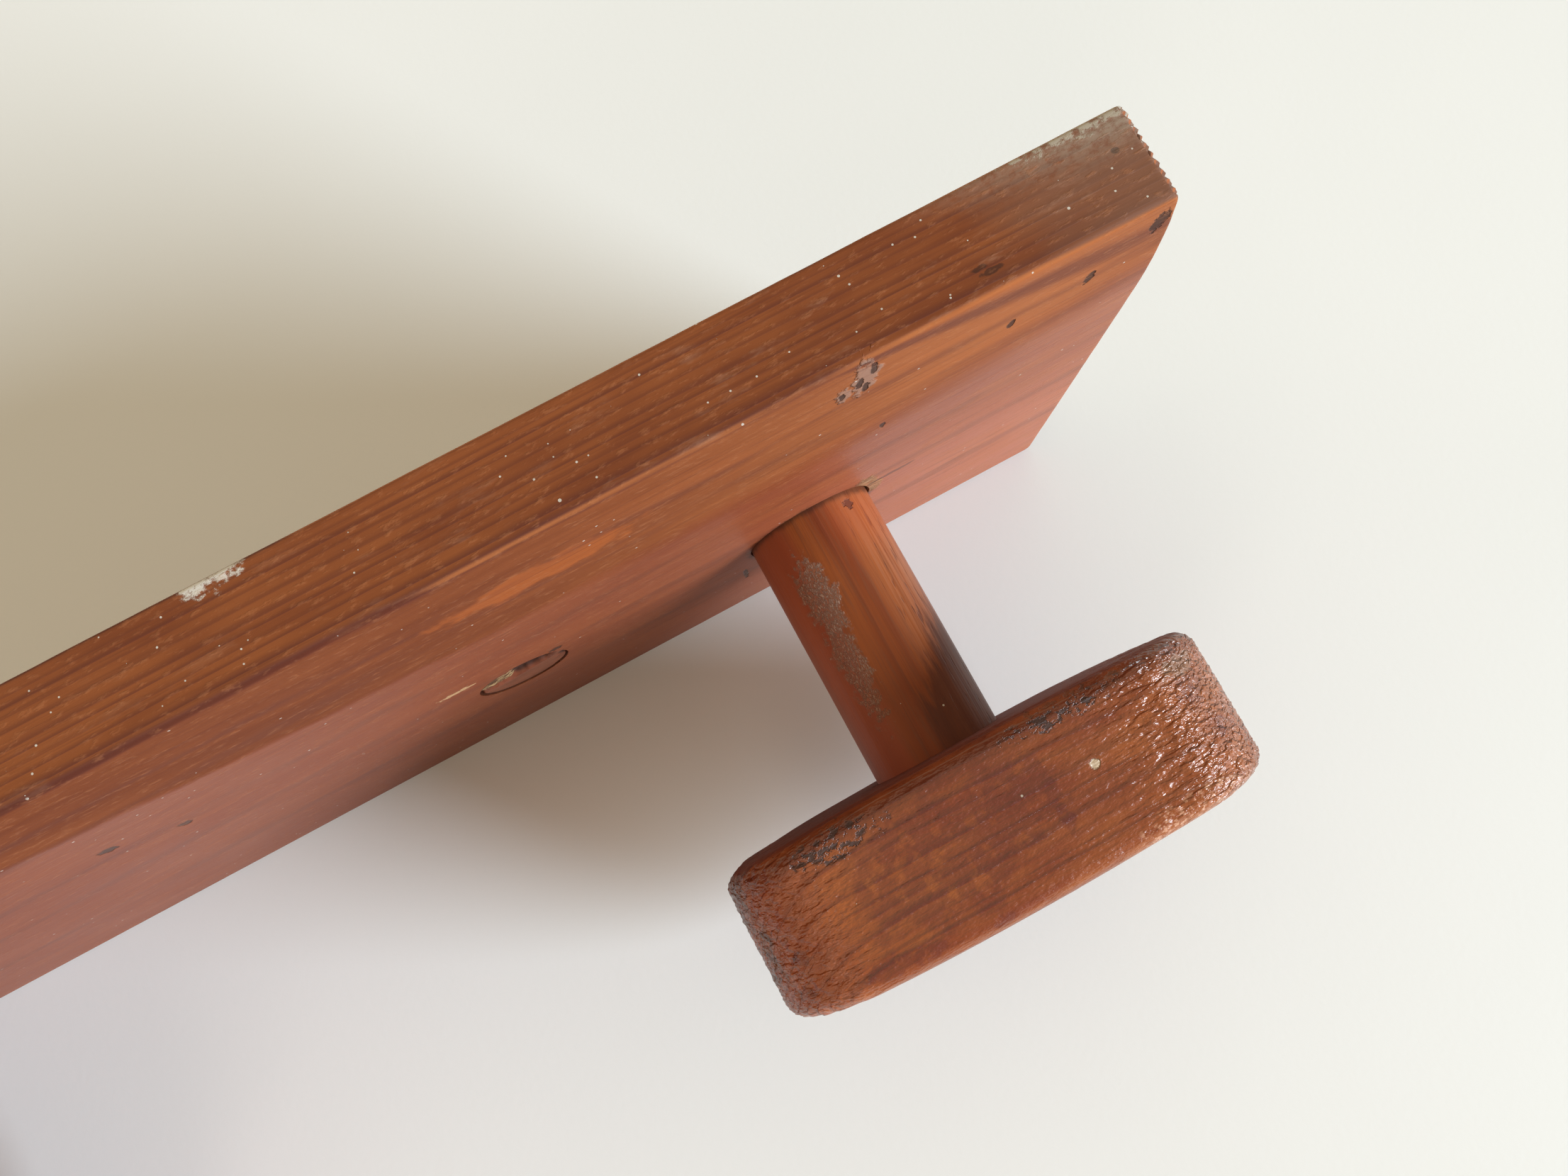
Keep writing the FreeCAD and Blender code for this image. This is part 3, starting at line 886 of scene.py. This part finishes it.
def board_cutters():
    """The hollows of the peg sockets with their screw holes, and of the plug holes."""
    socket_floor = DOWEL_BOXES[1][1][1]
    socket_radius = DOWEL_RADIUS + SOCKET_PLAY
    socket = [(BOARD_FRONT + depth, socket_radius) for depth in (-PAST, 0, 0.4, 0.8, FLARE_DEPTH)]
    socket += [
        (socket_floor, socket_radius),
        (socket_floor, SCREW_HOLE_RADIUS),
        (SCREW_SEAT[0], SCREW_HOLE_RADIUS),
        (SCREW_SEAT[1], SCREW_SEAT_RADIUS),
        (PAST, SCREW_SEAT_RADIUS),
    ]
    plug_hole = [
        (BOARD_FRONT - PAST, PLUG_RADIUS + PLUG_PLAY),
        (PLUG_HOLE_FLOOR, PLUG_RADIUS + PLUG_PLAY),
        (PLUG_HOLE_FLOOR, WALL_HOLE_RADIUS),
        (PAST, WALL_HOLE_RADIUS),
    ]
    sockets = [turned(socket, x, PEG_Z, DOWEL_SEGMENTS, socket_flare) for x in PEG_X.values()]
    return sockets + [turned(plug_hole, x, PLUG_Z, HOLE_SEGMENTS) for x in PLUG_X.values()]


def socket_flare(angles, y):
    """How far the torn rim of a peg socket flares out near the board's face."""
    if y > BOARD_FRONT + FLARE_DEPTH:
        return 0 * angles
    depth = max(y, BOARD_FRONT) - BOARD_FRONT
    fall = np.clip(1 - depth / FLARE_DEPTH, 0, 1)
    chips = np.array([noise.noise(Vector((math.cos(a) * 4, math.sin(a) * 4, 3.7))) for a in angles])
    crescent = np.exp(-((np.mod(angles - 0.75 + math.pi, 2 * math.pi) - math.pi) / 0.55) ** 2)
    return fall * (0.22 + 0.18 * chips + crescent)


# ------------ pegs

DOWEL_STATIONS = 70
HEAD_CORNER = 17.0  # radius of the four corners in front view
HEAD_RIM = 3.5
HEAD_BOW = (1.5, 1.0)  # how far the front and the back face swell at mid length
HEAD_RING_SPACING = 1.5
HEAD_SOCKET_DEPTH = 15.0
HEAD_SOCKET_PLAY = 0.06


def make_dowel(number, material):
    low, high = DOWEL_BOXES[number]
    bare = (HEAD_BOXES[number][1][1] - 3, BOARD_FRONT + 2)
    stations = np.concatenate([[low[1]], np.linspace(*bare, DOWEL_STATIONS), [high[1]]])
    seed = number * 7.3

    def shape(angles, y):
        around = [(math.sin(a), math.cos(a)) for a in angles]
        flutes = [noise.noise(Vector((x * 9, y / 40, z * 9 + seed))) for x, z in around]
        hollows = [noise.noise(Vector((x * 1.4, y / 18 + seed, z * 1.4))) for x, z in around]
        return -0.08 + 0.04 * np.array(flutes) + 0.035 * np.array(hollows)

    profile = [(y, DOWEL_RADIUS) for y in stations]
    solid = turned(profile, PEG_X[number], PEG_Z, DOWEL_SEGMENTS, shape)
    dowel = make_mesh("dowel_" + str(number), *solid)
    install(dowel, "peg_dowel_" + str(number), material)


def make_head(number, material):
    """A bowed block with its socket. The near head, which the camera sees, has a finer mesh."""
    low, high = HEAD_BOXES[number]
    step, fine = (0.8, 0.4) if number == NEAR_PEG else (1.7, 0.9)
    xs = divide(low[0], high[0], step, fine, 6.0)
    ys = divide(low[1], high[1], fine + 0.05, fine, 5.0)
    zs = divide(low[2], high[2], step + 0.4, fine, 6.0)
    points, quads = box_grid(xs, ys, zs)
    points, outward = round_block(points, low, high, HEAD_CORNER, HEAD_CORNER, HEAD_RIM, HEAD_RIM)
    middle, half = (low + high) / 2, (high - low) / 2
    across = (points[:, 0] - middle[0]) / half[0]
    through = (points[:, 1] - middle[1]) / half[1]
    bow = np.where(through < 0, *HEAD_BOW)
    points[:, 1] -= bow * across ** 2 * through
    end = np.clip((np.abs(across) - 0.55) / 0.35, 0, 1)
    tip = np.clip((np.abs(across) - 0.86) / 0.12, 0, 1)
    points = points - outward * head_relief(points, middle, end, tip, number * 11.1)[:, None]
    head = make_mesh("head_" + str(number), points, quads)
    mark(head, "rim", rim_share(outward))
    mark(head, "end", end)
    radius = DOWEL_RADIUS + HEAD_SOCKET_PLAY
    profile = [(high[1] + PAST, radius), (high[1] - HEAD_SOCKET_DEPTH, radius)]
    socket = turned(profile, PEG_X[number], PEG_Z, HOLE_SEGMENTS)
    cut_away(head, make_mesh("cutter", *socket))
    install(head, "peg_head_" + str(number), material)


def head_relief(points, middle, end, tip, seed):
    """How deep the surface lies: uneven all over, wrinkled and ridged by the rings at the ends."""
    depth = np.hypot(points[:, 1] - middle[1] - HEAD_PITH[0], points[:, 2] - middle[2] - HEAD_PITH[1])
    tooth = np.mod(depth / HEAD_RING_SPACING + 0.8 * ripple(points, (30, 9, 9), seed), 1)
    uneven = np.maximum(0.05 + 0.12 * ripple(points, (16, 9, 9), seed), 0)
    wrinkles = 0.5 + 0.5 * ripple(points, (4.5, 1.1, 1.4), seed + 3)
    return uneven + end * 0.22 * wrinkles + (0.05 + 0.12 * end + 0.25 * tip) * tooth


# ------------ plugs

PLUG_SEGMENTS = 132
PLUG_ROWS = 38
PLUG_BEVEL = 0.35
PLUG_BEVEL_STEPS = np.array([0.6, 0.3, 0.1, 0.0])
PLUG_JOINT = 0.25  # width of the dirty ring inside the bevel


def make_plug(side, material):
    """A plug that has split along the grain. The left one is split the other way round."""
    low, high = PLUG_BOXES[side]
    angles = np.arange(PLUG_SEGMENTS) * 2 * math.pi / PLUG_SEGMENTS
    ring = np.stack([np.sin(angles), 0 * angles, np.cos(angles)], axis=1)
    flat_radius = PLUG_RADIUS - PLUG_BEVEL
    radii = np.linspace(0.25, flat_radius, PLUG_ROWS)
    radii = np.concatenate([radii, PLUG_RADIUS - PLUG_BEVEL * PLUG_BEVEL_STEPS])
    centre = np.array([PLUG_X[side], low[1], PLUG_Z])
    front = np.concatenate([[centre]] + [centre + radius * ring for radius in radii])
    turn = 1 if side == "right" else -1
    along, up = (front[:, 0] - centre[0]) * turn, (front[:, 2] - centre[2]) * turn
    split, torn, hollow = plug_break(front, along, up)
    distance = np.hypot(along, up)
    joint = np.clip((distance - (flat_radius - PLUG_JOINT)) / PLUG_JOINT, 0, 1)
    broken = np.clip(0.42 + 1.3 * ripple(front, (4, 4, 4), 12.0), 0.12, 1)
    hollow = np.maximum(hollow, 0.5 * joint * broken)
    splinters = 0.5 + 0.5 * ripple(front, (4.0, 1.0, 0.40), 9.0)
    bevel = np.clip(distance - flat_radius, 0, None)
    sunk = 0.03 + 0.05 * ripple(front, (6, 6, 6), 1.0) + bevel * 0.6
    sunk = sunk + split * 0.75 + hollow * 0.55 - torn * 0.7 * splinters
    front[:, 1] += np.clip(sunk, 0.01, 3.5)
    back = np.array([PLUG_X[side], high[1], PLUG_Z]) + PLUG_RADIUS * ring
    plug = make_mesh("plug_" + side, np.concatenate([front, back]), plug_faces(len(radii)))
    padding = np.zeros(PLUG_SEGMENTS)
    mark(plug, "raw", np.concatenate([torn, padding]))
    mark(plug, "deep", np.concatenate([hollow, padding]))
    install(plug, "screw_plug_" + side, material)


def plug_break(points, along, up):
    """A band across the upper half has come out along the grain, down to a ragged break line.
    Returns the shares of split, torn and hollow wood at each point."""
    ragged = 0.9 * ripple(points, (2.6, 9, 9), 4.0) + 0.45 * ripple(points, (0.8, 9, 9), 6.0)
    over = up - (-0.8 + 0.03 * (along + 3) ** 2 * np.sign(along + 3) + ragged)
    split = np.clip(over / 0.9, 0, 1) * np.clip((8.2 - along) / 1.5, 0, 1)
    torn = split * np.clip((0.2 - along) / 2.6, 0, 1) * np.clip((6.0 - up) / 3.0, 0, 1)
    torn = torn * np.clip(over - 1.0, 0, 1)
    hollow = split * np.clip((along + 2.2) / 1.6, 0, 1)
    hollow = np.maximum(hollow, np.exp(-((along - 8.2) / 1.2) ** 2 - ((up + 0.8) / 1.4) ** 2))
    return split, torn, hollow


def plug_faces(rings):
    """A fan in the middle, bands of quads out to the rim and down the side, and the back."""
    faces = [[0, 1 + (step + 1) % PLUG_SEGMENTS, 1 + step] for step in range(PLUG_SEGMENTS)]
    for row in range(rings):
        inner = 1 + row * PLUG_SEGMENTS
        outer = inner + PLUG_SEGMENTS
        for step in range(PLUG_SEGMENTS):
            after = (step + 1) % PLUG_SEGMENTS
            faces.append([inner + step, inner + after, outer + after, outer + step])
    last = 1 + rings * PLUG_SEGMENTS
    faces.append([last + step for step in range(PLUG_SEGMENTS)])
    return faces


# ------------ scene

FLOOR_HALF = 4000.0
ROOM_DARK = (0.20, 0.140, 0.088, 1)
ROOM_BRIGHT = (1.12, 0.97, 0.69, 1)
ROOM_BRIGHT_SIDE = (-0.35, 0.93, 0.0)
CAMERA_PLACE = (0.31763, -0.05756, 0.20421)
CAMERA_TURN = (9.339, 1.077, -28.367)


def make_floor():
    turns = ((-1, -1), (1, -1), (1, 1), (-1, 1))
    corners = [(FLOOR_HALF * x, FLOOR_HALF * y, BOARD_LOW[2]) for x, y in turns]
    floor = make_mesh("floor", corners, [[0, 1, 2, 3]])
    floor.data.materials.append(floor_material())


def make_light(name, target, direction, distance, size, power, colour):
    light = bpy.data.lights.new(name, "AREA")
    light.shape = "ELLIPSE"
    light.size, light.size_y = size, size
    light.energy = power
    light.color = colour
    lamp = bpy.data.objects.new(name, light)
    toward = Vector(direction).normalized()
    lamp.location = Vector(target) + toward * distance
    lamp.rotation_euler = toward.to_track_quat("Z", "Y").to_euler()
    bpy.context.scene.collection.objects.link(lamp)


def make_lighting():
    """A cool window-like key from the right front, and a weak warm lamp low over the table."""
    peg_foot = (PEG_X[NEAR_PEG] * MM, BOARD_FRONT * MM, 0)
    table_place = (0.10, -0.26, BOARD_LOW[2] * MM)
    make_light("key", peg_foot, (0.684, -0.626, 0.375), 8.0, 4.0, 1130.0, (0.79, 0.90, 1.0))
    make_light("fill", table_place, (-0.3, -0.4, 1.0), 0.5, 0.3, 0.42, (1.0, 0.86, 0.78))


def make_world():
    """A warm room that is brightest behind the board."""
    world = bpy.data.worlds.new("studio")
    world.use_nodes = True
    tree = world.node_tree
    direction = add_node(tree, "TexCoord").outputs["Generated"]
    behind = add_node(tree, "VectorMath", {0: direction, 1: ROOM_BRIGHT_SIDE}, operation="DOT_PRODUCT")
    spread = add_node(tree, "MapRange", {"Value": behind.outputs["Value"], "From Min": -0.6})
    blend = add_node(tree, "Mix", {0: spread.outputs[0], 6: ROOM_DARK, 7: ROOM_BRIGHT}, data_type="RGBA")
    tree.links.new(blend.outputs[2], tree.nodes["Background"].inputs["Color"])
    bpy.context.scene.world = world


def make_camera():
    """The photo's camera, as fitted to the board's straight edges, in metres and degrees."""
    camera = bpy.data.objects.new("camera", bpy.data.cameras.new("camera"))
    camera.data.sensor_width = 36.0
    camera.data.lens = 27.1
    camera.data.clip_start = 0.01
    camera.location = CAMERA_PLACE
    camera.rotation_euler = [math.radians(angle) for angle in CAMERA_TURN]
    bpy.context.scene.collection.objects.link(camera)
    bpy.context.scene.camera = camera


make_board(board_material())
dowel_look = dowel_material()
head_look = head_material()
for peg in PEGS:
    make_dowel(peg, dowel_look)
    make_head(peg, head_look)
plug_look = plug_material()
for side in PLUG_BOXES:
    make_plug(side, plug_look)
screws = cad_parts["peg_screws"]
screws.data.materials.clear()
screws.data.materials.append(steel_material())
make_floor()
make_lighting()
make_world()
make_camera()
bpy.context.scene.view_settings.view_transform = "Standard"
